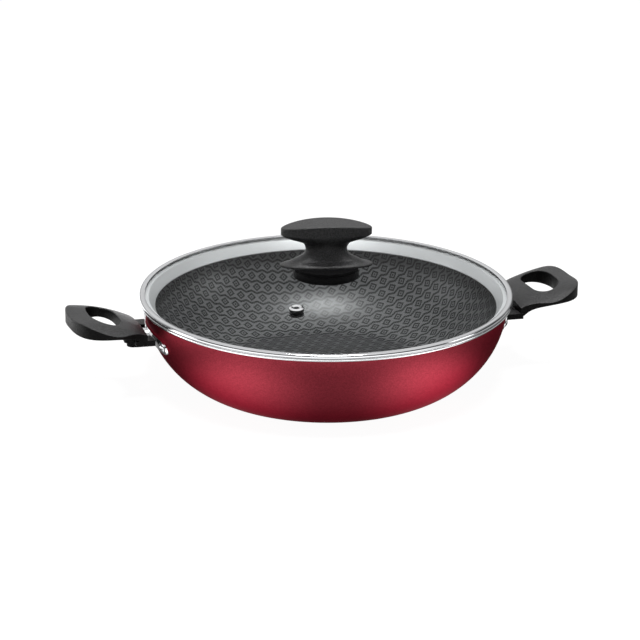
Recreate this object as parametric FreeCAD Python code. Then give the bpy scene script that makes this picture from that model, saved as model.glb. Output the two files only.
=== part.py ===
import FreeCAD, Part
import math
import os

# Shallow round-sided pan with two loop handles and a loose glass lid, in millimetres.
# Origin at the centre of the flat base, +Z up, the handles towards +X and -X.

V = FreeCAD.Vector
ORIGIN = V(0, 0, 0)
UP = V(0, 0, 1)

# Clearances
seat_gap = 0.05          # between curved faces that seat on each other
slot_gap = 0.15          # handle slot round the bracket tongue, each side
bore_gap = 0.15          # screw or stud in a plain hole, on the radius
thread_gap = 0.05        # screw in its nut or insert, on the radius
strap_gap = 0.4          # handle cheeks short of the bracket strap
rivet_gap = 0.1          # rivet heads off the bracket strap
half_turn = 180.0        # from the right handle's place to the left one's

# Pan, one pressed aluminium shell
pan_height = 71.5
side_r = 143.6           # widest outside radius of the side
foot_r = 95.0            # where the side's one arc would meet the base plane
wall = 2.2
floor_t = 3.0
lip_w = 3.9              # lip beyond the side
lip_edge_r = 0.9         # also how far below the lip's top the side stands upright
lip_bend_r = 3.0
base_blend_r = 26.0
groove_count = 4         # turned rings in the bare underside
groove_inner_r = 24.0
groove_pitch = 17.0
groove_w = 3.0
groove_depth = 0.5

# Bracket: a strap riveted to the side, with a slit tongue welded square to its middle
strap_t = 1.5
strap_h = 12.1
strap_drop = 15.7        # top of the strap below the top of the lip
rivet_angle = 14.4       # each side of the handle's middle
stud_r = 2.5
rivet_head_r = 3.9
rivet_head_h = 1.9
tongue_t = 1.5
tongue_w = 24.0
tongue_drop = 20.8       # top of the tongue below the top of the lip
tongue_len = 13.6        # this and the next lengths are measured outward from root_x
slit_w = 5.2
slit_len = 3.8

# Handle, moulded phenolic, drawn along +X outward from root_x
root_out = 3.4           # root_x beyond the side
handle_turn = 8.0        # the loop is turned about root_x, its fixing isn't
neck_out = 3.6
neck_half_w = 25.6
tip_out = 58.7
grip_out = 33.0          # station of the values that follow
grip_drop = 1.2          # crest of the top face below the top of the lip
grip_rise = 0.18         # outward climb of the crest, mm per mm
grip_bow = 6.1           # drop of the crest one span away
grip_span = 30.0
crown = 1.74             # sideways drop of the top face one span out, as y squared
crown_slope = -4.5       # change of the crown per span outward
crown_bend = -2.9
shoulder = 2.6           # sideways drop that grows as y to the fourth
handle_edge_r = 0.9
patch_steps = 8          # stations each way through which the top face is drawn
outline_points = [(58.1, 12.5), (53.2, 25.3), (41.0, 33.6), (25.5, 34.6), (14.0, 29.0)]
hole_points = [(43.6, 0.0), (42.6, 11.0), (37.5, 19.4), (29.0, 21.5), (22.6, 16.0), (20.8, 6.0)]
# distance out and drop below the top of the lip
under_points = [(1.0, 25.6), (6.0, 22.2), (11.0, 18.0), (16.0, 15.4), (21.0, 13.7), (28.0, 12.2),
                (39.0, 11.6), (62.0, 9.8)]
cheek_inner_y = 13.2
cheek_len = 9.0
cheek_h = 4.5
cheek_lift = 1.6         # top of the cheeks above the tongue
spine_wall = 2.6         # handle round the sides and end of the tongue
spine_floor = 1.8        # and below it
spine_edge_r = 4.0

# Handle screw and its captive nut
screw_out = 7.2
boss_r = 5.3
boss_h = 8.9             # below the tongue
boss_floor_t = 3.0
screw_r = 2.0
screw_head_r = 3.5
screw_head_h = 2.4
screw_tail = 0.5
nut_flats = 7.0
nut_h = 2.2
cross_w = 1.0
cross_depth = 1.2

# Lid glass: a shallow dome with a flat brim
glass_t = 2.4
dome_rise = 13.5
brim_w = 4.3
glass_edge_gap = 0.3
glass_edge_r = 1.15
knob_hole_r = 4.0
vent_hole_r = 4.0
vent_r = 77.9
vent_angle = -120.0

# Lid ring: thin steel folded round the brim, with a skirt that centres the lid in the pan
ring_t = 0.4
crimp_back = 0.4         # the fold stops short of the dome
flange_w = 7.5           # flat of the ring, inward from its outside
skirt_taper = 4.6
skirt_depth = 7.0
hem_r = 0.8

# Vent eyelet in its rubber grommet
eyelet_head_r = 5.75
eyelet_head_h = 1.6
eyelet_r = 3.0
eyelet_bore_r = 2.1
eyelet_flare_r = 4.4
eyelet_flare_h = 0.6
grommet_r = 5.6
grommet_top_h = 1.5
grommet_under_h = 1.2

# Knob, turned about the middle of the lid
knob_turn = -8.4
knob_base_r = 26.0
knob_base_h = 8.3
base_top_r = 25.3
base_groove_depth = 0.7
base_groove_w = 0.7
base_groove_drop = 1.9
skirt_a = 36.8
cap_a = 35.9
cap_b = 13.6
cap_side_z = 25.8        # height of the cap's lower edge above the knob base
cap_arch = 4.3
knob_h = 35.3            # grip alone, from the base to the crown of the cap
cap_edge_r = 1.0
# height above the base, half length, half depth of each section of the waist
waist_sections = [(0.0, skirt_a, 14.0), (0.9, skirt_a, 14.0), (2.9, 31.0, 13.2), (5.3, 25.9, 12.6),
                  (7.6, 20.9, 12.1), (10.9, 17.2, 11.7), (14.6, 16.4, 11.5), (18.3, 17.9, 11.7),
                  (20.6, 22.0, 12.2), (22.3, 28.4, 12.8), (24.2, 33.6, 13.3), (cap_side_z, cap_a, cap_b)]

# Knob fixing, from inside the lid
knob_screw_r = 2.5
knob_head_r = 4.6
knob_head_h = 3.0
knob_screw_reach = 12.0
insert_r = 4.0
insert_h = 15.0
washer_r = 9.0
washer_t = 1.0
seal_r = 9.5
seal_t = 1.2

# Worked out from the sizes above
widest_z = pan_height - lip_edge_r
side_arc_r = (widest_z ** 2 + (side_r - foot_r) ** 2) / (2 * (side_r - foot_r))
arc_r = side_r - side_arc_r
lip_r = side_r + lip_w
lip_under_z = pan_height - wall
strap_top_z = pan_height - strap_drop
strap_mid_z = strap_top_z - strap_h / 2
root_x = side_r + root_out
tongue_top_z = pan_height - tongue_drop
tongue_under_z = tongue_top_z - tongue_t
tongue_end_x = root_x + tongue_len
slot_floor_z = tongue_under_z - slot_gap
screw_x = root_x + screw_out
nut_top_z = tongue_top_z + nut_h
neck_x = root_x + neck_out
tip_x = root_x + tip_out
grip_x = root_x + grip_out
grip_z = pan_height - grip_drop
brim_under_z = pan_height + ring_t
brim_top_z = brim_under_z + glass_t
dome_top_z = brim_top_z + dome_rise
glass_r = lip_r - ring_t - glass_edge_gap
brim_in_r = glass_r - brim_w
dome_r = (brim_in_r ** 2 + dome_rise ** 2) / (2 * dome_rise)
dome_centre_z = dome_top_z - dome_r
crimp_in_r = brim_in_r + crimp_back
flange_in_r = lip_r - flange_w
skirt_in_r = flange_in_r - skirt_taper
crimp_round = glass_edge_r + glass_edge_gap
hem_z = pan_height - skirt_depth


def side_radius(z, offset=0.0):
    # radius of the pan's side at a height, on its arc or on one offset from it
    return arc_r + math.sqrt((side_arc_r + offset) ** 2 - (widest_z - z) ** 2)


def dome_z(r):
    # height of the glass's upper face at a radius
    return dome_centre_z + math.sqrt(dome_r ** 2 - r ** 2)


def at(r, z):
    return V(r, 0, z)


def line(a, b):
    return Part.LineSegment(a, b).toShape()


def arc(a, middle, b):
    return Part.Arc(a, middle, b).toShape()


def side_arc(z_from, z_to, offset):
    # stretch of the pan's side arc, in the XZ plane
    ends = [at(side_radius(z, offset), z) for z in (z_from, (z_from + z_to) / 2, z_to)]
    return arc(ends[0], ends[1], ends[2])


def dome_arc(r_from, r_to, drop):
    # stretch of the dome's arc, in the XZ plane, let down by drop
    ends = [at(r, dome_z(r) - drop) for r in (r_from, (r_from + r_to) / 2, r_to)]
    return arc(ends[0], ends[1], ends[2])


def turned(edges, angle=360.0):
    face = Part.Face(Part.Wire(edges))
    return face.revolve(ORIGIN, UP, angle)


def turned_outline(points, angle=360.0):
    corners = [at(r, z) for r, z in points]
    return turned([line(a, b) for a, b in zip(corners, corners[1:] + corners[:1])], angle)


def disc(r, z_low, z_high, x=0.0):
    return Part.makeCylinder(r, z_high - z_low, V(x, 0, z_low))


def block(x, y, z):
    # box between the two limits given for each axis
    return Part.makeBox(x[1] - x[0], y[1] - y[0], z[1] - z[0], V(x[0], y[0], z[0]))


def near(shape, test):
    return [edge for edge in shape.Edges if test(edge.BoundBox)]


def hexagon(flats, z_low, z_high, x):
    corner_r = flats / math.sqrt(3)
    corners = [V(x + corner_r * math.cos(a), corner_r * math.sin(a), z_low)
               for a in [math.radians(60 * i) for i in range(6)]]
    return Part.Face(Part.makePolygon(corners + corners[:1])).extrude(V(0, 0, z_high - z_low))


def placed(shape, side):
    # from the right handle's place along +X to the side asked for
    shape = shape.removeSplitter()
    if side < 0:
        shape.rotate(ORIGIN, UP, half_turn)
    return shape


# Pan

def wok_body():
    lip_top = pan_height
    inner_r = side_radius(lip_under_z, -wall)
    shell = turned([
        line(at(0, 0), at(side_radius(0), 0)),
        side_arc(0, lip_under_z, 0),
        line(at(side_radius(lip_under_z), lip_under_z), at(lip_r, lip_under_z)),
        line(at(lip_r, lip_under_z), at(lip_r, lip_top)),
        line(at(lip_r, lip_top), at(inner_r, lip_top)),
        line(at(inner_r, lip_top), at(inner_r, lip_under_z)),
        side_arc(lip_under_z, floor_t, -wall),
        line(at(side_radius(floor_t, -wall), floor_t), at(0, floor_t)),
        line(at(0, floor_t), at(0, 0)),
    ])
    lip_edges = near(shell, lambda b: b.XMax > lip_r - seat_gap and b.ZLength < seat_gap)
    shell = shell.makeFillet(lip_edge_r, lip_edges)
    bend = near(shell, lambda b: abs(b.XMax - inner_r) < seat_gap and b.ZMin > pan_height - seat_gap)
    shell = shell.makeFillet(lip_bend_r, bend)
    foot = near(shell, lambda b: b.ZMax < floor_t + seat_gap and b.ZLength < seat_gap)
    shell = shell.makeFillet(base_blend_r, foot)
    for i in range(groove_count):
        r = groove_inner_r + i * groove_pitch
        groove = turned_outline([(r, -groove_depth), (r + groove_w, -groove_depth),
                                 (r + groove_w / 2, groove_depth)])
        shell = shell.cut(groove)
    return shell


# Brackets and rivets

def stud_axis():
    # foot of a stud on the pan's side, and its outward direction, in the XZ plane
    foot = at(side_radius(strap_mid_z), strap_mid_z)
    return foot, (foot - at(arc_r, widest_z)).normalize()


def bracket(side):
    z_low = strap_top_z - strap_h
    inner = side_arc(z_low, strap_top_z, seat_gap)
    outer = side_arc(strap_top_z, z_low, seat_gap + strap_t)
    ends = [edge.Vertexes for edge in (inner, outer)]
    closing = [line(ends[0][1].Point, ends[1][0].Point), line(ends[1][1].Point, ends[0][0].Point)]
    reach = rivet_angle + math.degrees(strap_h / side_radius(strap_mid_z))
    strap = turned([inner, closing[0], outer, closing[1]], 2 * reach)
    strap.rotate(ORIGIN, UP, -reach)
    # the ends are round about the rivets
    foot, outward = stud_axis()
    ear_y = foot.x * math.sin(math.radians(rivet_angle))
    across = (arc_r, lip_r)
    ears = block(across, (-ear_y, ear_y), (z_low, strap_top_z))
    for y in (-ear_y, ear_y):
        ears = ears.fuse(Part.makeCylinder(strap_h / 2, lip_r - arc_r, V(arc_r, y, strap_mid_z), V(1, 0, 0)))
    strap = strap.common(ears)
    for angle in (-rivet_angle, rivet_angle):
        hole = Part.makeCylinder(stud_r + bore_gap, 2 * wall + strap_t, foot - outward * wall, outward)
        hole.rotate(ORIGIN, UP, angle)
        strap = strap.cut(hole)
    tongue = block((arc_r, tongue_end_x), (-tongue_w / 2, tongue_w / 2), (tongue_under_z, tongue_top_z))
    slit = block((arc_r, root_x + slit_len), (-slit_w / 2, slit_w / 2), (tongue_under_z, tongue_top_z))
    hole = disc(screw_r + bore_gap, tongue_under_z, tongue_top_z, screw_x)
    pan_side = disc(side_radius(tongue_top_z, seat_gap + strap_t / 2), 0, pan_height)
    tongue = tongue.cut(slit).cut(hole).cut(pan_side)
    return placed(strap.fuse(tongue), side)


def rivet(angle):
    # stud welded to the side, its domed head closing on the strap
    foot, outward = stud_axis()
    stud_len = seat_gap + strap_t + rivet_gap
    cap_r = (rivet_head_r ** 2 + rivet_head_h ** 2) / (2 * rivet_head_h)
    dome = Part.makeSphere(cap_r, V(0, 0, stud_len + rivet_head_h - cap_r))
    head = dome.common(Part.makeCylinder(rivet_head_r, rivet_head_h, V(0, 0, stud_len)))
    stud = Part.makeCylinder(stud_r, stud_len - seat_gap, V(0, 0, seat_gap))
    shape = stud.fuse(head).removeSplitter()
    shape.Placement = FreeCAD.Placement(foot, FreeCAD.Rotation(UP, outward))
    shape.rotate(ORIGIN, UP, angle)
    return shape


def rivets(side):
    both = [rivet(-rivet_angle), rivet(rivet_angle)]
    return Part.makeCompound([placed(stud, side) for stud in both])


# Handles

def grip_top(x, y):
    # the top face: a bowed crest, crowned across, flat at the tip and rounder at the neck
    out = (x - grip_x) / grip_span
    over = y / grip_span
    crest = grip_z + grip_rise * (x - grip_x) - grip_bow * out ** 2
    fall = (crown + crown_slope * out + crown_bend * out ** 2) * over ** 2
    return crest - fall - shoulder * (1 + out) * over ** 4


def closed_face(half_points):
    # face inside a smooth closed curve, given on one side of the handle's line
    other = [(x, -y) for x, y in reversed(half_points) if y > 0]
    curve = Part.BSplineCurve()
    curve.interpolate([V(x, y, 0) for x, y in half_points + other], PeriodicFlag=True)
    return Part.Face(Part.Wire(curve.toShape()))


def handle_outline():
    half = [(tip_out, 0.0)] + outline_points + [(neck_out, neck_half_w)]
    points = [V(root_x + x, -y, 0) for x, y in reversed(half[1:])]
    points += [V(root_x + x, y, 0) for x, y in half]
    curve = Part.BSplineCurve()
    curve.interpolate(points)
    return Part.Face(Part.Wire([curve.toShape(), line(points[-1], points[0])]))


def handle_blank():
    # the plan outline, carried up to the crowned top and cut off by the curved underside
    margin = grip_span / 3
    length = tip_x - neck_x + 2 * margin
    width = 2 * (neck_half_w + 2 * margin)
    x_steps = [neck_x - margin + i * length / patch_steps for i in range(patch_steps + 1)]
    y_steps = [(i / patch_steps - 0.5) * width for i in range(patch_steps + 1)]
    top = Part.BSplineSurface()
    top.interpolate([[V(x, y, grip_top(x, y)) for y in y_steps] for x in x_steps])
    column = handle_outline().extrude(V(0, 0, pan_height + margin))
    blank = column.common(top.toShape().extrude(V(0, 0, -pan_height)))
    curve = Part.BSplineCurve()
    under = [at(root_x + out, pan_height - drop) for out, drop in under_points]
    curve.interpolate(under)
    low = [at(under[-1].x, 0), at(under[0].x, 0)]
    below = Part.Face(Part.Wire([curve.toShape(), line(under[-1], low[0]), line(low[0], low[1]),
                                 line(low[1], under[0])]))
    below.translate(V(0, -side_r, 0))
    blank = blank.cut(below.extrude(V(0, 2 * side_r, 0)))
    hole = closed_face([(root_x + x, y) for x, y in hole_points])
    return blank.cut(hole.extrude(V(0, 0, pan_height + margin)))


def neck_parts():
    # what holds the bracket: two cheeks beside the tongue, a spine round it and the screw's boss
    parts = []
    cheek_top_z = tongue_top_z + cheek_lift
    for sign in (-1, 1):
        y = sorted([sign * cheek_inner_y, sign * neck_half_w])
        parts.append(block((arc_r, root_x + cheek_len), y, (cheek_top_z - cheek_h, cheek_top_z)))
    half_w = tongue_w / 2 + spine_wall
    spine = block((neck_x, tongue_end_x + spine_wall), (-half_w, half_w),
                  (slot_floor_z - spine_floor, nut_top_z))
    corners = near(spine, lambda b: b.XMin > neck_x + spine_wall and b.ZLength > spine_floor)
    parts.append(spine.makeFillet(spine_edge_r, corners))
    parts.append(disc(boss_r, tongue_under_z - boss_h, slot_floor_z, screw_x))
    return parts


def handle(side):
    grip = handle_blank()
    outer = near(grip, lambda b: b.ZLength < grip_span and b.XLength > grip_span / 3)
    grip = grip.makeFillet(handle_edge_r, outer)
    grip.rotate(V(root_x, 0, 0), UP, handle_turn)
    for part in neck_parts():
        grip = grip.fuse(part)
    slot_w = tongue_w / 2 + slot_gap
    grip = grip.cut(block((arc_r, tongue_end_x + slot_gap), (-slot_w, slot_w),
                          (slot_floor_z, tongue_top_z + slot_gap)))
    grip = grip.cut(hexagon(nut_flats + 2 * slot_gap, tongue_top_z, nut_top_z + slot_gap, screw_x))
    grip = grip.cut(disc(screw_r + bore_gap, 0, nut_top_z + screw_tail + slot_gap, screw_x))
    grip = grip.cut(disc(screw_head_r + bore_gap, 0, slot_floor_z - boss_floor_t, screw_x))
    grip = grip.cut(disc(side_radius(tongue_top_z + cheek_lift, strap_t + strap_gap), 0, pan_height))
    return placed(grip, side)


def cross_recess(r, z, x=0.0):
    # two crossed slots in the underside of a screw head
    long_way = (x - r / 2, x + r / 2)
    arm = block(long_way, (-cross_w / 2, cross_w / 2), (z, z + cross_depth))
    other = arm.copy()
    other.rotate(V(x, 0, z), UP, 90)
    return arm.fuse(other)


def handle_screw(side):
    seat_z = slot_floor_z - boss_floor_t
    head_z = seat_z - screw_head_h
    head = disc(screw_head_r, head_z, seat_z, screw_x)
    shank = disc(screw_r, seat_z, nut_top_z + screw_tail, screw_x)
    return placed(head.fuse(shank).cut(cross_recess(screw_head_r, head_z, screw_x)), side)


def handle_nut(side):
    nut = hexagon(nut_flats, tongue_top_z, nut_top_z, screw_x)
    return placed(nut.cut(disc(screw_r + thread_gap, tongue_top_z, nut_top_z, screw_x)), side)


# Lid

def on_dome(shape):
    # from an upright axis at the origin to the vent's place, square to the glass
    shape.rotate(ORIGIN, V(0, 1, 0), math.degrees(math.asin(vent_r / dome_r)))
    shape.translate(at(vent_r, dome_z(vent_r)))
    shape.rotate(ORIGIN, UP, vent_angle)
    return shape


def lid_glass():
    glass = turned([
        dome_arc(0, brim_in_r, 0),
        line(at(brim_in_r, brim_top_z), at(glass_r, brim_top_z)),
        line(at(glass_r, brim_top_z), at(glass_r, brim_under_z)),
        line(at(glass_r, brim_under_z), at(brim_in_r, brim_under_z)),
        dome_arc(brim_in_r, 0, glass_t),
        line(at(0, dome_top_z - glass_t), at(0, dome_top_z)),
    ])
    edges = near(glass, lambda b: b.XMax > glass_r - seat_gap and b.ZLength < seat_gap)
    glass = glass.makeFillet(glass_edge_r, edges)
    glass = glass.cut(disc(knob_hole_r, brim_under_z, dome_top_z + glass_t))
    return glass.cut(on_dome(Part.makeCylinder(vent_hole_r, 4 * glass_t, V(0, 0, -2 * glass_t))))


def lid_ring():
    band_r = lip_r - ring_t
    crimp_z = brim_top_z + seat_gap
    shoulder_z = crimp_z - crimp_round
    shoulder_r = band_r - crimp_round
    bend = crimp_round * (1 - math.sqrt(0.5))
    outer_bend = (crimp_round + ring_t) * (1 - math.sqrt(0.5))
    flange_z = pan_height + ring_t
    ring = turned([
        line(at(crimp_in_r, crimp_z), at(shoulder_r, crimp_z)),
        arc(at(shoulder_r, crimp_z), at(band_r - bend, crimp_z - bend), at(band_r, shoulder_z)),
        line(at(band_r, shoulder_z), at(band_r, flange_z)),
        line(at(band_r, flange_z), at(flange_in_r - ring_t, flange_z)),
        line(at(flange_in_r - ring_t, flange_z), at(skirt_in_r, hem_z)),
        line(at(skirt_in_r, hem_z), at(skirt_in_r + ring_t, hem_z)),
        line(at(skirt_in_r + ring_t, hem_z), at(flange_in_r, pan_height)),
        line(at(flange_in_r, pan_height), at(lip_r, pan_height)),
        line(at(lip_r, pan_height), at(lip_r, shoulder_z)),
        arc(at(lip_r, shoulder_z), at(lip_r - outer_bend, crimp_z + ring_t - outer_bend),
            at(shoulder_r, crimp_z + ring_t)),
        line(at(shoulder_r, crimp_z + ring_t), at(crimp_in_r, crimp_z + ring_t)),
        line(at(crimp_in_r, crimp_z + ring_t), at(crimp_in_r, crimp_z)),
    ])
    hem = Part.makeTorus(skirt_in_r + ring_t / 2, hem_r, V(0, 0, hem_z))
    return ring.fuse(hem).removeSplitter()


def vent_eyelet():
    foot_z = -glass_t - grommet_under_h - eyelet_flare_h
    head_z = grommet_top_h
    eyelet = turned_outline([(eyelet_bore_r, foot_z), (eyelet_flare_r, foot_z),
                             (eyelet_flare_r, foot_z + eyelet_flare_h), (eyelet_r, foot_z + eyelet_flare_h),
                             (eyelet_r, head_z), (eyelet_head_r, head_z),
                             (eyelet_head_r, head_z + eyelet_head_h / 2),
                             ((eyelet_head_r + eyelet_bore_r) / 2, head_z + eyelet_head_h),
                             (eyelet_bore_r, head_z + eyelet_head_h / 2)])
    return on_dome(eyelet)


def vent_seal():
    low_z = -glass_t - grommet_under_h
    bore = eyelet_r + seat_gap
    neck = vent_hole_r - seat_gap
    # the collars are flat, so each stands off the curved glass by its own fall
    fall = dome_r - math.sqrt(dome_r ** 2 - grommet_r ** 2) + seat_gap
    grommet = turned_outline([(bore, low_z), (grommet_r, low_z), (grommet_r, -glass_t - fall),
                              (neck, -glass_t - fall), (neck, seat_gap), (grommet_r, seat_gap),
                              (grommet_r, grommet_top_h), (bore, grommet_top_h)])
    return on_dome(grommet)


def knob_seat_z():
    # top of the knob base, where the grip sits
    return dome_z(knob_base_r) + knob_base_h


def knob_base():
    top = knob_seat_z()
    low = dome_z(knob_base_r) + seat_gap
    groove_z = top - base_groove_drop
    bore = knob_screw_r + bore_gap
    rim = [(knob_base_r, low), (knob_base_r, low + base_groove_drop), (base_top_r, groove_z - base_groove_w),
           (base_top_r - base_groove_depth, groove_z - base_groove_w),
           (base_top_r - base_groove_depth, groove_z), (base_top_r, groove_z), (base_top_r, top),
           (bore, top), (bore, dome_z(bore) + seat_gap)]
    corners = [at(r, z) for r, z in rim]
    edges = [line(a, b) for a, b in zip(corners, corners[1:])]
    return turned(edges + [dome_arc(bore, knob_base_r, -seat_gap)])


def oval(a, b, z):
    return Part.Wire(Part.Ellipse(V(0, 0, z), a, b).toShape())


def knob_grip():
    seat = knob_seat_z()
    waist = Part.makeLoft([oval(a, b, seat + z) for z, a, b in waist_sections], True)
    crown_z = seat + knob_h
    arch_r = (cap_a ** 2 + cap_arch ** 2) / (2 * cap_arch)
    half = cap_a + cap_b
    side_z = crown_z - arch_r + math.sqrt(arch_r ** 2 - half ** 2)
    low_z = seat + cap_side_z
    arch = Part.Face(Part.Wire([arc(at(-half, side_z), at(0, crown_z), at(half, side_z)),
                                line(at(half, side_z), at(half, low_z)),
                                line(at(half, low_z), at(-half, low_z)),
                                line(at(-half, low_z), at(-half, side_z))]))
    arch.translate(V(0, -cap_a, 0))
    cap = Part.Face(oval(cap_a, cap_b, low_z)).extrude(V(0, 0, knob_h))
    cap = cap.common(arch.extrude(V(0, 2 * cap_a, 0)))
    cap = cap.makeFillet(cap_edge_r, near(cap, lambda b: b.ZMin > low_z + cap_edge_r))
    grip = waist.fuse(cap)
    grip = grip.cut(disc(insert_r + seat_gap, seat - seat_gap, seat + insert_h))
    grip.rotate(ORIGIN, UP, knob_turn)
    return grip.removeSplitter()


def knob_insert():
    seat = knob_seat_z()
    insert = disc(insert_r, seat, seat + insert_h)
    return insert.cut(disc(knob_screw_r + thread_gap, seat, seat + insert_h))


def knob_stack():
    # heights of the seal, washer and screw head under the glass, from the top down
    seal_top = dome_z(seal_r) - glass_t - seat_gap
    seal_low = seal_top - seal_t
    washer_low = seal_low - washer_t
    return seal_top, seal_low, washer_low, washer_low - knob_head_h


def knob_seal():
    top, low, _, _ = knob_stack()
    return disc(seal_r, low, top).cut(disc(knob_screw_r + bore_gap, low, top))


def knob_washer():
    _, top, low, _ = knob_stack()
    return disc(washer_r, low, top).cut(disc(knob_screw_r + bore_gap, low, top))


def knob_screw():
    _, _, head_top, head_low = knob_stack()
    head = disc(knob_head_r, head_low, head_top)
    head = head.makeFillet(knob_head_h / 3, near(head, lambda b: b.ZMax < head_low + seat_gap))
    shank = disc(knob_screw_r, head_top, knob_seat_z() + knob_screw_reach)
    return head.fuse(shank).cut(cross_recess(knob_head_r, head_low)).removeSplitter()


nodes = {
    "wok_body": wok_body(),
    "left_bracket": bracket(-1),
    "right_bracket": bracket(1),
    "left_rivets": rivets(-1),
    "right_rivets": rivets(1),
    "left_handle": handle(-1),
    "right_handle": handle(1),
    "left_handle_screw": handle_screw(-1),
    "right_handle_screw": handle_screw(1),
    "left_handle_nut": handle_nut(-1),
    "right_handle_nut": handle_nut(1),
    "lid_glass": lid_glass(),
    "lid_ring": lid_ring(),
    "vent_eyelet": vent_eyelet(),
    "vent_seal": vent_seal(),
    "knob_base": knob_base(),
    "knob_grip": knob_grip(),
    "knob_insert": knob_insert(),
    "knob_seal": knob_seal(),
    "knob_washer": knob_washer(),
    "knob_screw": knob_screw(),
}

os.makedirs("parts", exist_ok=True)
for name, shape in nodes.items():
    shape.exportStep("parts/" + name + ".step")
    print(name, len(shape.Solids), "solid(s)", round(shape.Volume, 1), "mm3", shape.isValid())
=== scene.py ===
import math
import bpy
import numpy as np
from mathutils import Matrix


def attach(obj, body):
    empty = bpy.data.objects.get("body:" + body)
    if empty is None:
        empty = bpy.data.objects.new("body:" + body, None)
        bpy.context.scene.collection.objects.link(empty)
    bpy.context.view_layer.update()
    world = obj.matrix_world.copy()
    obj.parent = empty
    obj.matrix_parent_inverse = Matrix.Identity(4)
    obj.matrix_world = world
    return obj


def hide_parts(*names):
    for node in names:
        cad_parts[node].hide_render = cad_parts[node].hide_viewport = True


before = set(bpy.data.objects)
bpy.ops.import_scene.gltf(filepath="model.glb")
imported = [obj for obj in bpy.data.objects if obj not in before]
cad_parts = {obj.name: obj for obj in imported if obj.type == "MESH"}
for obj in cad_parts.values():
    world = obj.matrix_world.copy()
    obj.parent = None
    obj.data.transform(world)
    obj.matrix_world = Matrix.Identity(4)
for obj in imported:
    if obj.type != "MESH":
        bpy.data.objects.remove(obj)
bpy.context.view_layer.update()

# Shallow 28 cm pan with a loose glass lid. Sizes are in millimetres, and every mesh is made in metres.
mm = 0.001


def toLinear(hexText):
    # sRGB hex to linear: each channel has the display curve taken off
    shown = np.array([int(hexText[i:i + 2], 16) for i in (0, 2, 4)]) / 255
    linear = np.where(shown > 0.04045, ((shown + 0.055) / 1.055) ** 2.4, shown / 12.92)
    return (*linear, 1.0)


def addNode(owner, kind, inputs=None, **settings):
    # one shader node: its settings, and for each input a plain value or the socket that feeds it
    made = owner.node_tree.nodes.new(kind)
    for name, value in settings.items():
        setattr(made, name, value)
    for name, value in (inputs or {}).items():
        if isinstance(value, bpy.types.NodeSocket):
            owner.node_tree.links.new(value, made.inputs[name])
        else:
            made.inputs[name].default_value = value
    return made


def blankMaterial(name):
    material = bpy.data.materials.new(name)
    material.use_nodes = True
    material.node_tree.nodes.clear()
    return material


# Camera and studio

cameraSet = {
    "target": (0.0, 0.0, 73.0), "distance": 2000.0, "azimuth": -13.4, "elevation": 19.095, "roll": 0.441,
    "lens": 142.33, "sensor": 36.0, "shiftX": -0.00934, "shiftY": -0.0436, "clip": (0.05, 100.0),
}


def lookAxes(azimuth, elevation):
    # what stands at that azimuth and elevation and faces the middle: its right, its up and its back
    a, e = math.radians(azimuth), math.radians(elevation)
    back = np.array([math.sin(a) * math.cos(e), -math.cos(a) * math.cos(e), math.sin(e)])
    right = np.array([math.cos(a), math.sin(a), 0.0])
    return right, np.cross(back, right), back


def addPlaced(name, data, axes, place):
    placed = bpy.data.objects.new(name, data)
    bpy.context.scene.collection.objects.link(placed)
    matrix = np.eye(4)
    matrix[:3] = np.stack([*axes, place], axis=1)
    placed.matrix_world = matrix.T.tolist()
    return placed


def makeCamera(spec):
    level, upright, back = lookAxes(spec["azimuth"], spec["elevation"])
    r = math.radians(spec["roll"])
    right = math.cos(r) * level + math.sin(r) * upright  # the roll turns the picture's own axes
    up = math.cos(r) * upright - math.sin(r) * level
    place = (np.array(spec["target"]) + back * spec["distance"]) * mm
    lens = bpy.data.cameras.new("camera")
    lens.lens, lens.sensor_width = spec["lens"], spec["sensor"]
    lens.shift_x, lens.shift_y = spec["shiftX"], spec["shiftY"]
    lens.clip_start, lens.clip_end = spec["clip"]
    bpy.context.scene.camera = addPlaced("camera", lens, (right, up, back), place)


makeCamera(cameraSet)

# each lamp: azimuth from the front in degrees (left is negative), elevation, distance, width and height in
# metres, power in watts
lamps = {
    "overheadBox": (-10.0, 73.0, 1.5, 0.62, 0.42, 21.5),
    "leftBox": (-104.0, 16.0, 1.6, 0.5, 0.7, 2.4),
    "rightBox": (72.0, 14.0, 1.6, 0.5, 0.7, 3.2),
}


def makeLamp(name, azimuth, elevation, distance, width, height, power):
    axes = lookAxes(azimuth, elevation)
    data = bpy.data.lights.new(name, "AREA")
    data.shape, data.size, data.size_y, data.energy = "RECTANGLE", width, height, power
    addPlaced(name, data, axes, axes[2] * distance)


for name, values in lamps.items():
    makeLamp(name, *values)

# the studio, in metres; the room and floor values from roomDark on are what polished pieces show
studio = {
    "floorSize": 14.0, "floorDrop": 0.0002, "paper": "f4f4f4", "glow": 1.12, "glowShare": 0.85,
    "ambient": 0.25, "roomDark": 0.08, "roomPale": 1.0, "horizon": 0.25, "paleBehind": (0.4, 0.88),
    # paintedShadowNear is the level of the painted shadow near the pan, floorFar the paper's white further
    # out
    "paleRise": (0.0, 0.46), "paleAbove": (0.42, 0.8), "paintedShadowNear": 0.10, "floorFar": 2.0,
    "farFrom": (0.24, 0.34), "rightDim": 0.25, "rightFrom": (0.20, 0.27),
    # each painted pool of light on the paper that polished pieces show: x, y, radius, strength
    "paintedLightPools": ((-0.140, -0.115, 0.115, 2.7), (0.100, -0.155, 0.115, 3.1), (-0.02, -0.17, 0.12, 0.55),
                (0.130, 0.145, 0.13, 1.8), (-0.110, 0.160, 0.13, 1.8), (-0.390, 0.040, 0.12, 5.0)),
}


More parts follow.
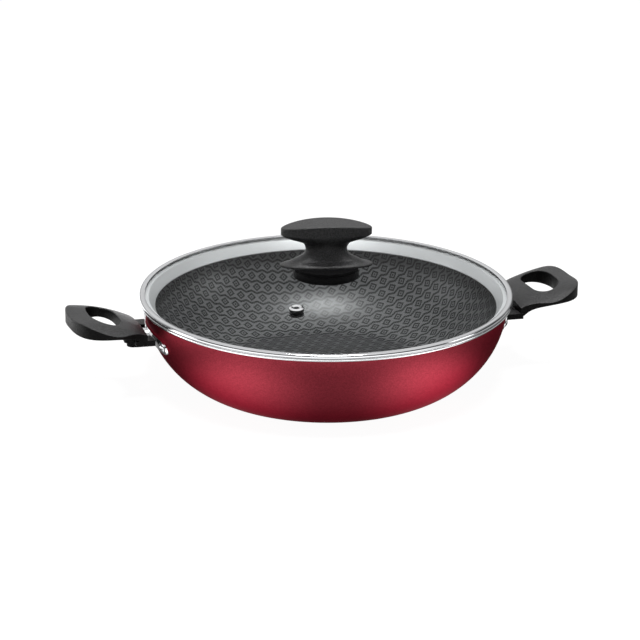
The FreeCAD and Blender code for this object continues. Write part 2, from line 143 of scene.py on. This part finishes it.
def makeWorld(spec):
    world = bpy.data.worlds.new("studio")
    bpy.context.scene.world = world
    world.use_nodes = True
    world.node_tree.nodes.clear()
    path = addNode(world, "ShaderNodeLightPath")
    direction = addNode(world, "ShaderNodeSeparateXYZ",
                        {0: addNode(world, "ShaderNodeTexCoord").outputs["Generated"]})
    # polished pieces show a dark room in front, a backdrop that pales from the horizon up, and a pale
    # ceiling
    behind = addNode(world, "ShaderNodeMapRange", {"Value": direction.outputs["Y"],
                     "From Min": spec["paleBehind"][0], "From Max": spec["paleBehind"][1]},
                     interpolation_type="SMOOTHSTEP")
    rise = addNode(world, "ShaderNodeMapRange", {"Value": direction.outputs["Z"],
                   "From Min": spec["paleRise"][0], "From Max": spec["paleRise"][1],
                   "To Min": spec["horizon"]}, interpolation_type="SMOOTHSTEP")
    backdrop = addNode(world, "ShaderNodeMath", {0: behind.outputs[0], 1: rise.outputs[0]},
                       operation="MULTIPLY")
    above = addNode(world, "ShaderNodeMapRange", {"Value": direction.outputs["Z"],
                    "From Min": spec["paleAbove"][0], "From Max": spec["paleAbove"][1]},
                    interpolation_type="SMOOTHSTEP")
    pale = addNode(world, "ShaderNodeMath", {0: backdrop.outputs[0], 1: above.outputs[0]},
                   operation="MAXIMUM")
    glossy = addNode(world, "ShaderNodeMapRange", {"Value": pale.outputs[0], "To Min": spec["roomDark"],
                     "To Max": spec["roomPale"]})
    mixed = addNode(world, "ShaderNodeMix", {"Factor": path.outputs["Is Glossy Ray"], "A": spec["ambient"],
                    "B": glossy.outputs[0]})
    seen = addNode(world, "ShaderNodeMath", {0: path.outputs["Is Camera Ray"],
                   1: path.outputs["Is Transmission Ray"]}, operation="MAXIMUM")
    strength = addNode(world, "ShaderNodeMix", {"Factor": seen.outputs[0], "A": mixed.outputs[0], "B": 1.0})
    light = addNode(world, "ShaderNodeBackground", {"Color": (1, 1, 1, 1), "Strength": strength.outputs[0]})
    addNode(world, "ShaderNodeOutputWorld", {"Surface": light.outputs[0]})


def studioPaper(spec):
    # matt white paper, seen only from above
    paper = blankMaterial("studioPaper")
    path = addNode(paper, "ShaderNodeLightPath")
    lit = addNode(paper, "ShaderNodeBsdfDiffuse", {"Color": toLinear(spec["paper"])})
    glow = addNode(paper, "ShaderNodeEmission", {"Color": (1, 1, 1, 1), "Strength": spec["glow"]})
    seen = addNode(paper, "ShaderNodeMath", {0: path.outputs["Is Camera Ray"],
                   1: path.outputs["Is Transmission Ray"]}, operation="MAXIMUM")
    # polished pieces show the paper with a painted shadow near the pan, white further out and with painted
    # pools of light in patches
    spot = addNode(paper, "ShaderNodeTexCoord").outputs["Object"]
    away = addNode(paper, "ShaderNodeVectorMath", {0: spot}, operation="LENGTH")
    beyond = addNode(paper, "ShaderNodeMapRange", {"Value": away.outputs["Value"],
                     "From Min": spec["farFrom"][0], "From Max": spec["farFrom"][1]},
                     interpolation_type="SMOOTHSTEP")
    # painted shade: the right side stays dimmer, so the right handle's side does too
    across = addNode(paper, "ShaderNodeSeparateXYZ", {0: spot}).outputs[0]
    side = addNode(paper, "ShaderNodeMapRange", {"Value": across, "From Min": spec["rightFrom"][0],
                   "From Max": spec["rightFrom"][1], "To Min": 1.0, "To Max": spec["rightDim"]},
                   interpolation_type="SMOOTHSTEP")
    white = addNode(paper, "ShaderNodeMath", {0: beyond.outputs[0], 1: side.outputs[0]},
                    operation="MULTIPLY")
    mirrored = addNode(paper, "ShaderNodeMapRange", {"Value": white.outputs[0], "To Min": spec["paintedShadowNear"],
                       "To Max": spec["floorFar"]}).outputs[0]
    # the painted pools of light, added one by one
    for x, y, radius, strength in spec["paintedLightPools"]:
        reach = addNode(paper, "ShaderNodeVectorMath", {0: spot, 1: (x, y, 0.0)}, operation="DISTANCE")
        paintedPool = addNode(paper, "ShaderNodeMapRange", {"Value": reach.outputs["Value"], "From Max": radius,
                        "To Min": strength, "To Max": 0.0}, interpolation_type="SMOOTHSTEP")
        mirrored = addNode(paper, "ShaderNodeMath", {0: mirrored, 1: paintedPool.outputs[0]}).outputs[0]
    shine = addNode(paper, "ShaderNodeEmission", {"Color": (1, 1, 1, 1), "Strength": mirrored})
    shown = addNode(paper, "ShaderNodeMixShader", {0: path.outputs["Is Glossy Ray"], 1: lit.outputs[0],
                    2: shine.outputs[0]})
    # the glow leaves only a trace of the object's shadow
    share = addNode(paper, "ShaderNodeMath", {0: seen.outputs[0], 1: spec["glowShare"]},
                    operation="MULTIPLY")
    mixed = addNode(paper, "ShaderNodeMixShader", {0: share.outputs[0], 1: shown.outputs[0],
                    2: glow.outputs[0]})
    clear = addNode(paper, "ShaderNodeBsdfTransparent")
    below = addNode(paper, "ShaderNodeNewGeometry").outputs["Backfacing"]
    upper = addNode(paper, "ShaderNodeMixShader", {0: below, 1: mixed.outputs[0], 2: clear.outputs[0]})
    addNode(paper, "ShaderNodeOutputMaterial", {"Surface": upper.outputs[0]})
    return paper


def makeFloor(spec):
    half = spec["floorSize"] / 2
    corners = [(x * half, y * half, -spec["floorDrop"]) for x, y in ((-1, -1), (1, -1), (1, 1), (-1, 1))]
    mesh = bpy.data.meshes.new("floor")
    mesh.from_pydata(corners, [], [(0, 1, 2, 3)])
    mesh.materials.append(studioPaper(spec))
    floor = bpy.data.objects.new("floor", mesh)
    bpy.context.scene.collection.objects.link(floor)


makeWorld(studio)
makeFloor(studio)
bpy.context.scene.view_settings.view_transform = "Standard"
print("camera, lamps and floor done")


# Materials

def metalFinish(name, colour, roughness, grain, depth, stretch=(1, 1, 1)):
    # bare metal: a mirror tinted by the metal, broken by fine grinding or rolling lines; grain is their
    # spacing and depth their height in millimetres
    metal = blankMaterial(name)
    place = addNode(metal, "ShaderNodeMapping",
                    {"Vector": addNode(metal, "ShaderNodeTexCoord").outputs["Object"], "Scale": stretch})
    lines = addNode(metal, "ShaderNodeTexNoise", {"Vector": place.outputs[0], "Scale": 1 / (grain * mm),
                    "Detail": 3.0, "Roughness": 0.6})
    uneven = addNode(metal, "ShaderNodeMapRange", {"Value": lines.outputs[0], "To Min": roughness * 0.8,
                     "To Max": roughness * 1.25})
    bump = addNode(metal, "ShaderNodeBump", {"Height": lines.outputs[0], "Distance": depth * mm,
                   "Strength": 0.5})
    shader = addNode(metal, "ShaderNodeBsdfPrincipled", {"Base Color": toLinear(colour), "Metallic": 1.0,
                     "Roughness": uneven.outputs[0], "Normal": bump.outputs[0]})
    addNode(metal, "ShaderNodeOutputMaterial", {"Surface": shader.outputs[0]})
    return metal


# stainless strip, roll-formed and polished: nearly a mirror, a faint grain along the strip
ringSteel = metalFinish("polishedStainless", "cbccce", 0.10, 0.8, 0.0004, (1, 1, 4))
# mild steel, stamped and bright plated: hard reflections with slight orange peel
bracketSteel = metalFinish("brightPlatedSteel", "eaebec", 0.14, 1.5, 0.001)
# cold-headed aluminium: softer shine
rivetAluminium = metalFinish("coldHeadedAluminium", "dcdddf", 0.22, 1.0, 0.006)
# turned stainless tube, flared over: bright
eyeletSteel = metalFinish("flaredStainless", "dedfe0", 0.14, 1.0, 0.003)
# zinc-plated screws and nuts: dull bright
fastenerSteel = metalFinish("zincPlatedSteel", "b9bcc0", 0.30, 0.6, 0.006)
# brass turned on a lathe: yellow, fine rings
insertBrass = metalFinish("turnedBrass", "c9a55c", 0.28, 0.5, 0.006, (1, 1, 6))
# bare aluminium rim, spun and polished
lipAluminium = metalFinish("polishedAluminium", "e3e4e6", 0.17, 1.5, 0.004, (1, 1, 5))


def blastedSteel():
    # the strip's inner side, bead-blasted before rolling: matt, it scatters light nearly like paint
    steel = blankMaterial("blastedStainless")
    place = addNode(steel, "ShaderNodeTexCoord").outputs["Object"]
    pits = addNode(steel, "ShaderNodeTexNoise", {"Vector": place, "Scale": 1 / (0.5 * mm), "Detail": 2.0})
    bump = addNode(steel, "ShaderNodeBump", {"Height": pits.outputs[0], "Distance": 0.01 * mm,
                   "Strength": 0.4})
    shader = addNode(steel, "ShaderNodeBsdfPrincipled", {"Base Color": toLinear("d6d6d7"), "Metallic": 0.4,
                     "Roughness": 0.4, "Normal": bump.outputs[0]})
    addNode(steel, "ShaderNodeOutputMaterial", {"Surface": shader.outputs[0]})
    return steel


def turnedAluminium(feed=0.5):
    # aluminium face-turned on a lathe: the tool's rings, one feed (in millimetres) apart, catch the light
    # as a fan
    metal = blankMaterial("faceTurnedAluminium")
    spot = addNode(metal, "ShaderNodeSeparateXYZ",
                   {0: addNode(metal, "ShaderNodeTexCoord").outputs["Object"]})
    flat = addNode(metal, "ShaderNodeCombineXYZ", {0: spot.outputs[0], 1: spot.outputs[1]})
    radius = addNode(metal, "ShaderNodeVectorMath", {0: flat.outputs[0]}, operation="LENGTH")
    turns = addNode(metal, "ShaderNodeMath", {0: radius.outputs["Value"], 1: 2 * math.pi / (feed * mm)},
                    operation="MULTIPLY")
    wave = addNode(metal, "ShaderNodeMath", {0: turns.outputs[0]}, operation="SINE")
    bump = addNode(metal, "ShaderNodeBump", {"Height": wave.outputs[0], "Distance": 0.02 * mm,
                   "Strength": 0.6})
    shader = addNode(metal, "ShaderNodeBsdfPrincipled", {"Base Color": toLinear("c7c9cc"), "Metallic": 1.0,
                     "Roughness": 0.32, "Normal": bump.outputs[0]})
    addNode(metal, "ShaderNodeOutputMaterial", {"Surface": shader.outputs[0]})
    return metal


def redLacquer():
    # baked lacquer with aluminium flake over the pressed side: a satin metallic red, flakes near 0.4 mm
    # drawn at 0.7 mm so that they show
    paint = blankMaterial("metallicRedLacquer")
    place = addNode(paint, "ShaderNodeTexCoord").outputs["Object"]
    flakes = addNode(paint, "ShaderNodeTexVoronoi", {"Vector": place, "Scale": 1 / (0.7 * mm)})
    tone = addNode(paint, "ShaderNodeMix", {"Factor": flakes.outputs["Color"], "A": toLinear("7a2a33"),
                   "B": toLinear("943540")}, data_type="RGBA")
    peel = addNode(paint, "ShaderNodeTexNoise", {"Vector": place, "Scale": 1 / (1.1 * mm), "Detail": 2.0})
    bump = addNode(paint, "ShaderNodeBump", {"Height": peel.outputs[0], "Distance": 0.02 * mm,
                   "Strength": 0.35})
    shader = addNode(paint, "ShaderNodeBsdfPrincipled", {"Base Color": tone.outputs["Result"],
                     "Metallic": 1.0, "Roughness": 0.48, "Specular Tint": toLinear("c8a0a4"),
                     "Normal": bump.outputs[0]})
    addNode(paint, "ShaderNodeOutputMaterial", {"Surface": shader.outputs[0]})
    return paint


# the pitches are in millimetres, and the diamond, its line, its core and the zigzag in parts of a cell
lining = {
    "pitch": 10.6, "rowPitch": 9.2, "diamond": 0.31, "line": 0.10, "core": 0.11, "zigRise": 0.11,
    "zigLine": 0.10, "pale": "5e5e5f", "dark": "070708", "roughness": 0.36,
}


def nonStickLining(spec):
    # sprayed non-stick coating, grey, with a nearly black print on the flat blank; u and v count cells of
    # the two pitches: brick-set diamonds |u| + |v| with a core, and between the rows a zigzag where |v| is
    # 1/2 + rise (1 - 4 |u|)
    coat = blankMaterial("printedNonStick")
    place = addNode(coat, "ShaderNodeUVMap", uv_map="flatBlank")
    spot = addNode(coat, "ShaderNodeSeparateXYZ", {0: place.outputs[0]})
    steps = {"x": spot.outputs[0], "y": spot.outputs[1]}
    for name, operation, a, b in (
        ("rows", "DIVIDE", "y", spec["rowPitch"] * mm),
        ("row", "FLOOR", "rows", 0.0),
        ("half", "MULTIPLY", "row", 0.5),
        ("cells", "DIVIDE", "x", spec["pitch"] * mm),
        ("shifted", "ADD", "cells", "half"),
        ("uPart", "FRACT", "shifted", 0.0),
        ("vPart", "FRACT", "rows", 0.0),
        ("u", "SUBTRACT", "uPart", 0.5),
        ("v", "SUBTRACT", "vPart", 0.5),
        ("uAway", "ABSOLUTE", "u", 0.0),
        ("vAway", "ABSOLUTE", "v", 0.0),
        ("reach", "ADD", "uAway", "vAway"),
        ("offDiamond", "SUBTRACT", "reach", spec["diamond"]),
        ("offDiamondSize", "ABSOLUTE", "offDiamond", 0.0),
        ("diamond", "LESS_THAN", "offDiamondSize", spec["line"]),
        ("core", "LESS_THAN", "reach", spec["core"]),
        ("zigDrop", "MULTIPLY", "uAway", 4 * spec["zigRise"]),
        ("zigLow", "ADD", "vAway", "zigDrop"),
        ("zigOff", "SUBTRACT", "zigLow", 0.5 + spec["zigRise"]),
        ("zigSize", "ABSOLUTE", "zigOff", 0.0),
        ("zigzag", "LESS_THAN", "zigSize", spec["zigLine"]),
        ("marks", "MAXIMUM", "diamond", "core"),
        ("print", "MAXIMUM", "marks", "zigzag"),
    ):
        steps[name] = addNode(coat, "ShaderNodeMath", {0: steps.get(a, a), 1: steps.get(b, b)},
                              operation=operation).outputs[0]
    grit = addNode(coat, "ShaderNodeTexNoise", {"Vector": place.outputs[0], "Scale": 1 / (0.5 * mm),
                   "Detail": 2.0})
    tone = addNode(coat, "ShaderNodeMix", {"Factor": steps["print"], "A": toLinear(spec["pale"]),
                   "B": toLinear(spec["dark"])}, data_type="RGBA")
    bump = addNode(coat, "ShaderNodeBump", {"Height": grit.outputs[0], "Distance": 0.004 * mm,
                   "Strength": 0.4})
    shader = addNode(coat, "ShaderNodeBsdfPrincipled", {"Base Color": tone.outputs["Result"],
                     "Roughness": spec["roughness"], "Normal": bump.outputs[0]})
    addNode(coat, "ShaderNodeOutputMaterial", {"Surface": shader.outputs[0]})
    return coat


# each moulding: shine of its top and of its sides, tone of its top and of its sides; the top's are painted
# light, the sides' painted shade
phenolics = {
    "handlePhenolic": (0.40, 0.07, "363637", "0c0c0c"),
    "gripPhenolic": (0.46, 0.24, "363637", "2c2c2d"),
    "basePhenolic": (0.04, 0.05, "121213", "121213"),
}


def mouldedPhenolic(name, litTopShine, shadedSideShine, litTopTone, shadedSideTone):
    # black phenolic resin pressed in a spark-textured mould, grain near 0.3 mm drawn at 1.1 mm so that it
    # shows; faces turned up get painted light (paler tone, more shine), steep faces painted shade (darker
    # tone, less shine)
    resin = blankMaterial(name)
    place = addNode(resin, "ShaderNodeTexCoord").outputs["Object"]
    grain = addNode(resin, "ShaderNodeTexNoise", {"Vector": place, "Scale": 1 / (1.1 * mm), "Detail": 3.0,
                    "Roughness": 0.7})
    speck = addNode(resin, "ShaderNodeMapRange", {"Value": grain.outputs[0], "From Min": 0.35,
                    "From Max": 0.65})
    slope = addNode(resin, "ShaderNodeSeparateXYZ",
                    {0: addNode(resin, "ShaderNodeNewGeometry").outputs["Normal"]})
    # painted light by slope: the more a face turns up, the more it takes the top's pale tone over the
    # sides' painted shade
    top = addNode(resin, "ShaderNodeMapRange", {"Value": slope.outputs[2], "From Min": 0.25,
                  "From Max": 0.75}, interpolation_type="SMOOTHSTEP")
    pale = addNode(resin, "ShaderNodeMix", {"Factor": top.outputs[0], "A": toLinear(shadedSideTone),
                   "B": toLinear(litTopTone)}, data_type="RGBA")
    tone = addNode(resin, "ShaderNodeMix", {"Factor": speck.outputs[0], "A": toLinear("070707"),
                   "B": pale.outputs["Result"]}, data_type="RGBA")
    # the shine is painted by slope too: strong on top as a painted highlight, weak on the sides as painted
    # shade
    shine = addNode(resin, "ShaderNodeMapRange", {"Value": top.outputs[0], "To Min": shadedSideShine,
                    "To Max": litTopShine})
    bump = addNode(resin, "ShaderNodeBump", {"Height": grain.outputs[0], "Distance": 0.45 * mm,
                   "Strength": 1.0})
    shader = addNode(resin, "ShaderNodeBsdfPrincipled", {"Base Color": tone.outputs["Result"],
                     "Roughness": 0.38, "Specular IOR Level": shine.outputs[0], "Normal": bump.outputs[0]})
    addNode(resin, "ShaderNodeOutputMaterial", {"Surface": shader.outputs[0]})
    return resin


def mouldedRubber(name, colour, roughness):
    # compression-moulded rubber: matt, faintly uneven
    rubber = blankMaterial(name)
    place = addNode(rubber, "ShaderNodeTexCoord").outputs["Object"]
    clouds = addNode(rubber, "ShaderNodeTexNoise", {"Vector": place, "Scale": 1 / (2.0 * mm),
                     "Detail": 3.0})
    uneven = addNode(rubber, "ShaderNodeMapRange", {"Value": clouds.outputs[0], "To Min": roughness * 0.9,
                     "To Max": roughness * 1.1})
    shader = addNode(rubber, "ShaderNodeBsdfPrincipled", {"Base Color": toLinear(colour),
                     "Roughness": uneven.outputs[0]})
    addNode(rubber, "ShaderNodeOutputMaterial", {"Surface": shader.outputs[0]})
    return rubber


def temperedGlass():
    # float glass, sagged and tempered: clear, with a faint shine on its outer faces at a low slant
    glass = blankMaterial("temperedGlass")
    shine = addNode(glass, "ShaderNodeBsdfGlossy", {"Color": (1, 1, 1, 1), "Roughness": 0.02})
    clear = addNode(glass, "ShaderNodeBsdfTransparent", {"Color": toLinear("fbfcfc")})
    # the shine leaves out the inner faces and the lamps' rays, which go straight through; the index is set
    # low so that the lining under the lid isn't veiled
    slant = addNode(glass, "ShaderNodeFresnel", {"IOR": 1.05})
    inner = addNode(glass, "ShaderNodeNewGeometry").outputs["Backfacing"]
    lampRay = addNode(glass, "ShaderNodeLightPath").outputs["Is Shadow Ray"]
    hidden = addNode(glass, "ShaderNodeMath", {0: inner, 1: lampRay}, operation="MAXIMUM")
    outer = addNode(glass, "ShaderNodeMath", {0: 1.0, 1: hidden.outputs[0]}, operation="SUBTRACT")
    share = addNode(glass, "ShaderNodeMath", {0: slant.outputs[0], 1: outer.outputs[0]},
                    operation="MULTIPLY")
    mixed = addNode(glass, "ShaderNodeMixShader", {0: share.outputs[0], 1: clear.outputs[0],
                    2: shine.outputs[0]})
    addNode(glass, "ShaderNodeOutputMaterial", {"Surface": mixed.outputs[0]})
    return glass


handlePhenolic, gripPhenolic, basePhenolic = (mouldedPhenolic(name, *look)
                                              for name, look in phenolics.items())
sealRubber = mouldedRubber("blackSilicone", "151516", 0.6)
lidGlass = temperedGlass()
print("materials done")


# Pan shell

# radii, heights and widths in millimetres; bareUnder and the steps count rows, and sharpAt is in degrees
pan = {
    "height": 71.5, "arcCentre": (68.02, 70.6), "arcR": 75.58, "wall": 2.2, "floor": 3.0, "blend": 26.0,
    "lipR": 147.5, "lipEdge": 0.9, "bend": 3.0, "underBend": 0.8, "lipUnder": 69.3,
    "grooveStart": 24.0, "groovePitch": 17.0, "grooveCount": 4, "grooveW": 1.5, "grooveDepth": 0.5,
    "baseR": 12.0, "floorR": (60.0, 30.0, 0.0), "paintFrom": 96.0, "bareUnder": 2, "sharpAt": 40.0,
    "steps": 384, "sideSteps": 60, "blendSteps": 14, "bendSteps": 9, "edgeSteps": 7, "underSteps": 6,
}


def arcPoints(centre, radius, start, end, count):
    # points of a circle between two angles in degrees
    angle = np.radians(np.linspace(start, end, count))
    return np.stack([centre[0] + radius * np.cos(angle), centre[1] + radius * np.sin(angle)], axis=1)


def blendArc(centre, sideR, bottom, blend):
    # where a rounding of that radius touches the flat bottom and the side arc: its centre and end angle
    drop = centre[1] - bottom - blend
    reach = sideR - blend
    out = math.sqrt(reach ** 2 - drop ** 2)
    return (centre[0] + out, bottom + blend), math.degrees(math.atan2(-drop, out))


def lathe(name, profile, steps, sharpAt, closed=False):
    # a profile (radius, height) carried round the Z axis: x = r cos t, y = r sin t, z = height; a row of
    # zero radius is one point. It gives the piece and each point's row in the profile
    angle = np.linspace(0, 2 * np.pi, steps, endpoint=False)
    rows = len(profile)
    grid = np.stack([profile[:, :1] * np.cos(angle), profile[:, :1] * np.sin(angle),
                     np.repeat(profile[:, 1:], steps, axis=1)], axis=2)
    index = np.arange(rows * steps).reshape(rows, steps)
    poles = np.nonzero(profile[:, 0] < 1e-9)[0]
    index[poles] = index[poles, :1]
    low = index if closed else index[:-1]
    high = np.roll(index, -1, axis=0) if closed else index[1:]
    quads = np.stack([low, np.roll(low, -1, axis=1), np.roll(high, -1, axis=1), high], axis=2)
    used, renumbered = np.unique(quads, return_inverse=True)
    quads = renumbered.reshape(-1, 4)
    faces = [[a, b, c, d] if a != b and c != d else ([b, c, d] if a == b else [a, b, c])
             for a, b, c, d in quads.tolist()]
    mesh = bpy.data.meshes.new(name)
    mesh.from_pydata((grid.reshape(-1, 3)[used] * mm).tolist(), [], faces)
    mesh.polygons.foreach_set("use_smooth", np.ones(len(faces), bool))
    mesh.set_sharp_from_angle(angle=math.radians(sharpAt))
    piece = bpy.data.objects.new(name, mesh)
    bpy.context.scene.collection.objects.link(piece)
    return piece, used // steps


def panProfile(spec):
    # from the middle below round the lip to the middle inside: the base with its turned grooves
    # (depth sin pi t), blend, side arc, the lip's underside, edge and top, the bend, and the same inside.
    # It gives the rows, and how many of them lie outside, on the lip and inside
    centre, wall, edge, under = spec["arcCentre"], spec["wall"], spec["lipEdge"], spec["underBend"]
    base = [np.array([[0.0, 0.0], [spec["baseR"], 0.0]])]
    t = np.linspace(0, 1, spec["edgeSteps"])
    for i in range(spec["grooveCount"]):
        out = spec["grooveStart"] + i * spec["groovePitch"] + spec["grooveW"] * (t + 0.5)
        base.append(np.stack([out, spec["grooveDepth"] * np.sin(np.pi * t)], axis=1))

    blendCentre, tangent = blendArc(centre, spec["arcR"], 0.0, spec["blend"])
    top = math.degrees(math.asin((spec["lipUnder"] - under - centre[1]) / spec["arcR"]))
    side = [arcPoints(blendCentre, spec["blend"], -90, tangent, spec["blendSteps"]),
            arcPoints(centre, spec["arcR"], tangent, top, spec["sideSteps"])[1:]]
    corner = (side[-1][-1, 0] + under, spec["lipUnder"] - under)
    side.append(arcPoints(corner, under, 180, 90, spec["underSteps"])[1:])

    innerArcR = spec["arcR"] - wall
    bendLow = spec["height"] - spec["bend"]
    innerR = centre[0] + math.sqrt(innerArcR ** 2 - (centre[1] - bendLow) ** 2)
    edgeR = spec["lipR"] - edge
    lip = [arcPoints((edgeR, spec["lipUnder"] + edge), edge, -90, 0, spec["edgeSteps"]),
           arcPoints((edgeR, spec["height"] - edge), edge, 0, 90, spec["edgeSteps"]),
           arcPoints((innerR + spec["bend"], bendLow), spec["bend"], 90, 180, spec["bendSteps"])]

    blendCentre, tangent = blendArc(centre, innerArcR, spec["floor"], spec["blend"])
    top = math.degrees(math.asin((bendLow - centre[1]) / innerArcR))
    inside = [arcPoints(centre, innerArcR, top, tangent, spec["sideSteps"])[1:],
              arcPoints(blendCentre, spec["blend"], tangent, -90, spec["blendSteps"])[1:],
              np.array([[r, spec["floor"]] for r in spec["floorR"]])]
    stretches = [np.concatenate(stretch) for stretch in (base + side, lip, inside)]
    return np.concatenate(stretches), [len(stretch) for stretch in stretches]


def makePan(spec):
    profile, (outerRows, lipRows, _) = panProfile(spec)
    piece, row = lathe("panShell", profile, spec["steps"], spec["sharpAt"])
    mesh = piece.data
    for material in (redLacquer(), lipAluminium, nonStickLining(lining), turnedAluminium()):
        mesh.materials.append(material)
    painted, bare, lined, turned = range(4)
    # finish by the profile: turned base, lacquered side, bare lip from a few rows under it, lined inside
    base = np.nonzero(profile[:, 0] > spec["paintFrom"])[0][0]
    finish = np.full(len(profile), painted)
    finish[:base] = turned
    finish[outerRows - spec["bareUnder"]:outerRows + lipRows] = bare
    finish[outerRows + lipRows:] = lined
    corner = np.zeros(len(mesh.loops), np.int32)
    mesh.loops.foreach_get("vertex_index", corner)
    starts = np.zeros(len(mesh.polygons), np.int32)
    mesh.polygons.foreach_get("loop_start", starts)
    faceRow = np.minimum.reduceat(row[corner], starts)
    mesh.polygons.foreach_set("material_index", finish[faceRow].astype(np.int32))
    # the flat blank that the pan is pressed from: distance along the profile from the middle of the floor
    along = np.concatenate([[0.0], np.cumsum(np.hypot(*np.diff(profile[::-1], axis=0).T))])[::-1]
    place = np.zeros(len(mesh.vertices) * 3)
    mesh.vertices.foreach_get("co", place)
    place = place.reshape(-1, 3)
    turn = np.arctan2(place[:, 1], place[:, 0])
    flat = along[row] * mm
    blank = np.stack([flat * np.cos(turn), flat * np.sin(turn)], axis=1)
    mesh.uv_layers.new(name="flatBlank").data.foreach_set("uv", blank[corner].ravel())
    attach(piece, "pan")
    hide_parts("wok_body")


makePan(pan)
print("pan shell done")


# Lid ring

ring = {
    "outR": pan["lipR"], "low": pan["height"], "sheet": 0.4, "topZ": 74.75, "bendR": 1.85,
    "crimpInR": 142.9, "crimpEdge": 0.1, "crimpLap": 0.06, "beadFall": 0.33, "beadW": 1.9,
    "flangeR": 140.0, "skirtR": 135.4, "hemZ": 64.5, "hemR": 0.8, "edge": 0.18, "innerFrom": 0.35,
    "steps": 384, "beadSteps": 7, "crimpSteps": 5, "innerSteps": 9, "hemSteps": 16, "edgeSteps": 4,
    "bendSteps": 12, "sharpAt": 40.0,
}


def makeRing(spec):
    # folded strip, closed round its section: a bead over the glass edge (top less fall (1 - s)^2), an
    # upright band, a flat flange, a tapered skirt and its hem
    t, out, low, top = spec["sheet"], spec["outR"], spec["low"], spec["topZ"]
    lean = math.degrees(math.atan2(spec["flangeR"] - t - spec["skirtR"], low + t - spec["hemZ"]))
    hem = (spec["skirtR"] + t / 2, spec["hemZ"])
    s = np.linspace(1, 0, spec["beadSteps"])
    bead = np.stack([spec["crimpInR"] + spec["beadW"] * s, top - spec["beadFall"] * (1 - s) ** 2], axis=1)
    lap = (spec["crimpInR"] + spec["crimpLap"], bead[-1, 1] - spec["crimpEdge"])
    bend = (out - spec["bendR"], top - spec["bendR"])
    profile = np.concatenate([
        bead,
        arcPoints(lap, spec["crimpEdge"], 90, 270, spec["crimpSteps"]),
        arcPoints(bend, spec["bendR"] - t, 90, 0, spec["innerSteps"]),
        [[out - t, low + t], [spec["flangeR"] - t / 2, low + t]],
        arcPoints(hem, spec["hemR"], 180 - lean, 360 - lean, spec["hemSteps"]),
        [[spec["flangeR"] + t / 2, low]],
        arcPoints((out - spec["edge"], low + spec["edge"]), spec["edge"], -90, 0, spec["edgeSteps"]),
        arcPoints(bend, spec["bendR"], 0, 90, spec["bendSteps"]),
    ])
    piece, _ = lathe("lidRing", profile, spec["steps"], spec["sharpAt"], closed=True)
    mesh = piece.data
    mesh.materials.append(ringSteel)
    mesh.materials.append(blastedSteel())
    middle = np.zeros(len(mesh.polygons) * 3)
    mesh.polygons.foreach_get("center", middle)
    middle = middle.reshape(-1, 3) / mm
    # the blasted inner side lies nearer to the bend's centre than the polished outer side, by some of the
    # sheet's thickness
    outward = np.maximum(np.hypot(middle[:, 0], middle[:, 1]) - bend[0], 0)
    inside = np.hypot(outward, np.maximum(middle[:, 2] - bend[1], 0)) < spec["bendR"] - spec["innerFrom"]
    mesh.polygons.foreach_set("material_index", inside.astype(np.int32))
    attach(piece, "lid")
    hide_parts("lid_ring")


makeRing(ring)
print("lid ring done")


# CAD nodes that keep their own shape

lidFinishes = {
    "lid_glass": lidGlass, "vent_eyelet": eyeletSteel, "vent_seal": sealRubber,
    "knob_base": basePhenolic, "knob_grip": gripPhenolic, "knob_insert": insertBrass,
    "knob_seal": sealRubber, "knob_washer": fastenerSteel, "knob_screw": fastenerSteel,
}
sideFinishes = {
    "bracket": bracketSteel, "rivets": rivetAluminium, "handle": handlePhenolic,
    "handle_screw": fastenerSteel, "handle_nut": fastenerSteel,
}


def finishNode(name, material):
    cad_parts[name].material_slots[0].material = material


for name, material in lidFinishes.items():
    finishNode(name, material)
for side in ("left", "right"):
    for name, material in sideFinishes.items():
        finishNode(side + "_" + name, material)
print("CAD nodes finished")
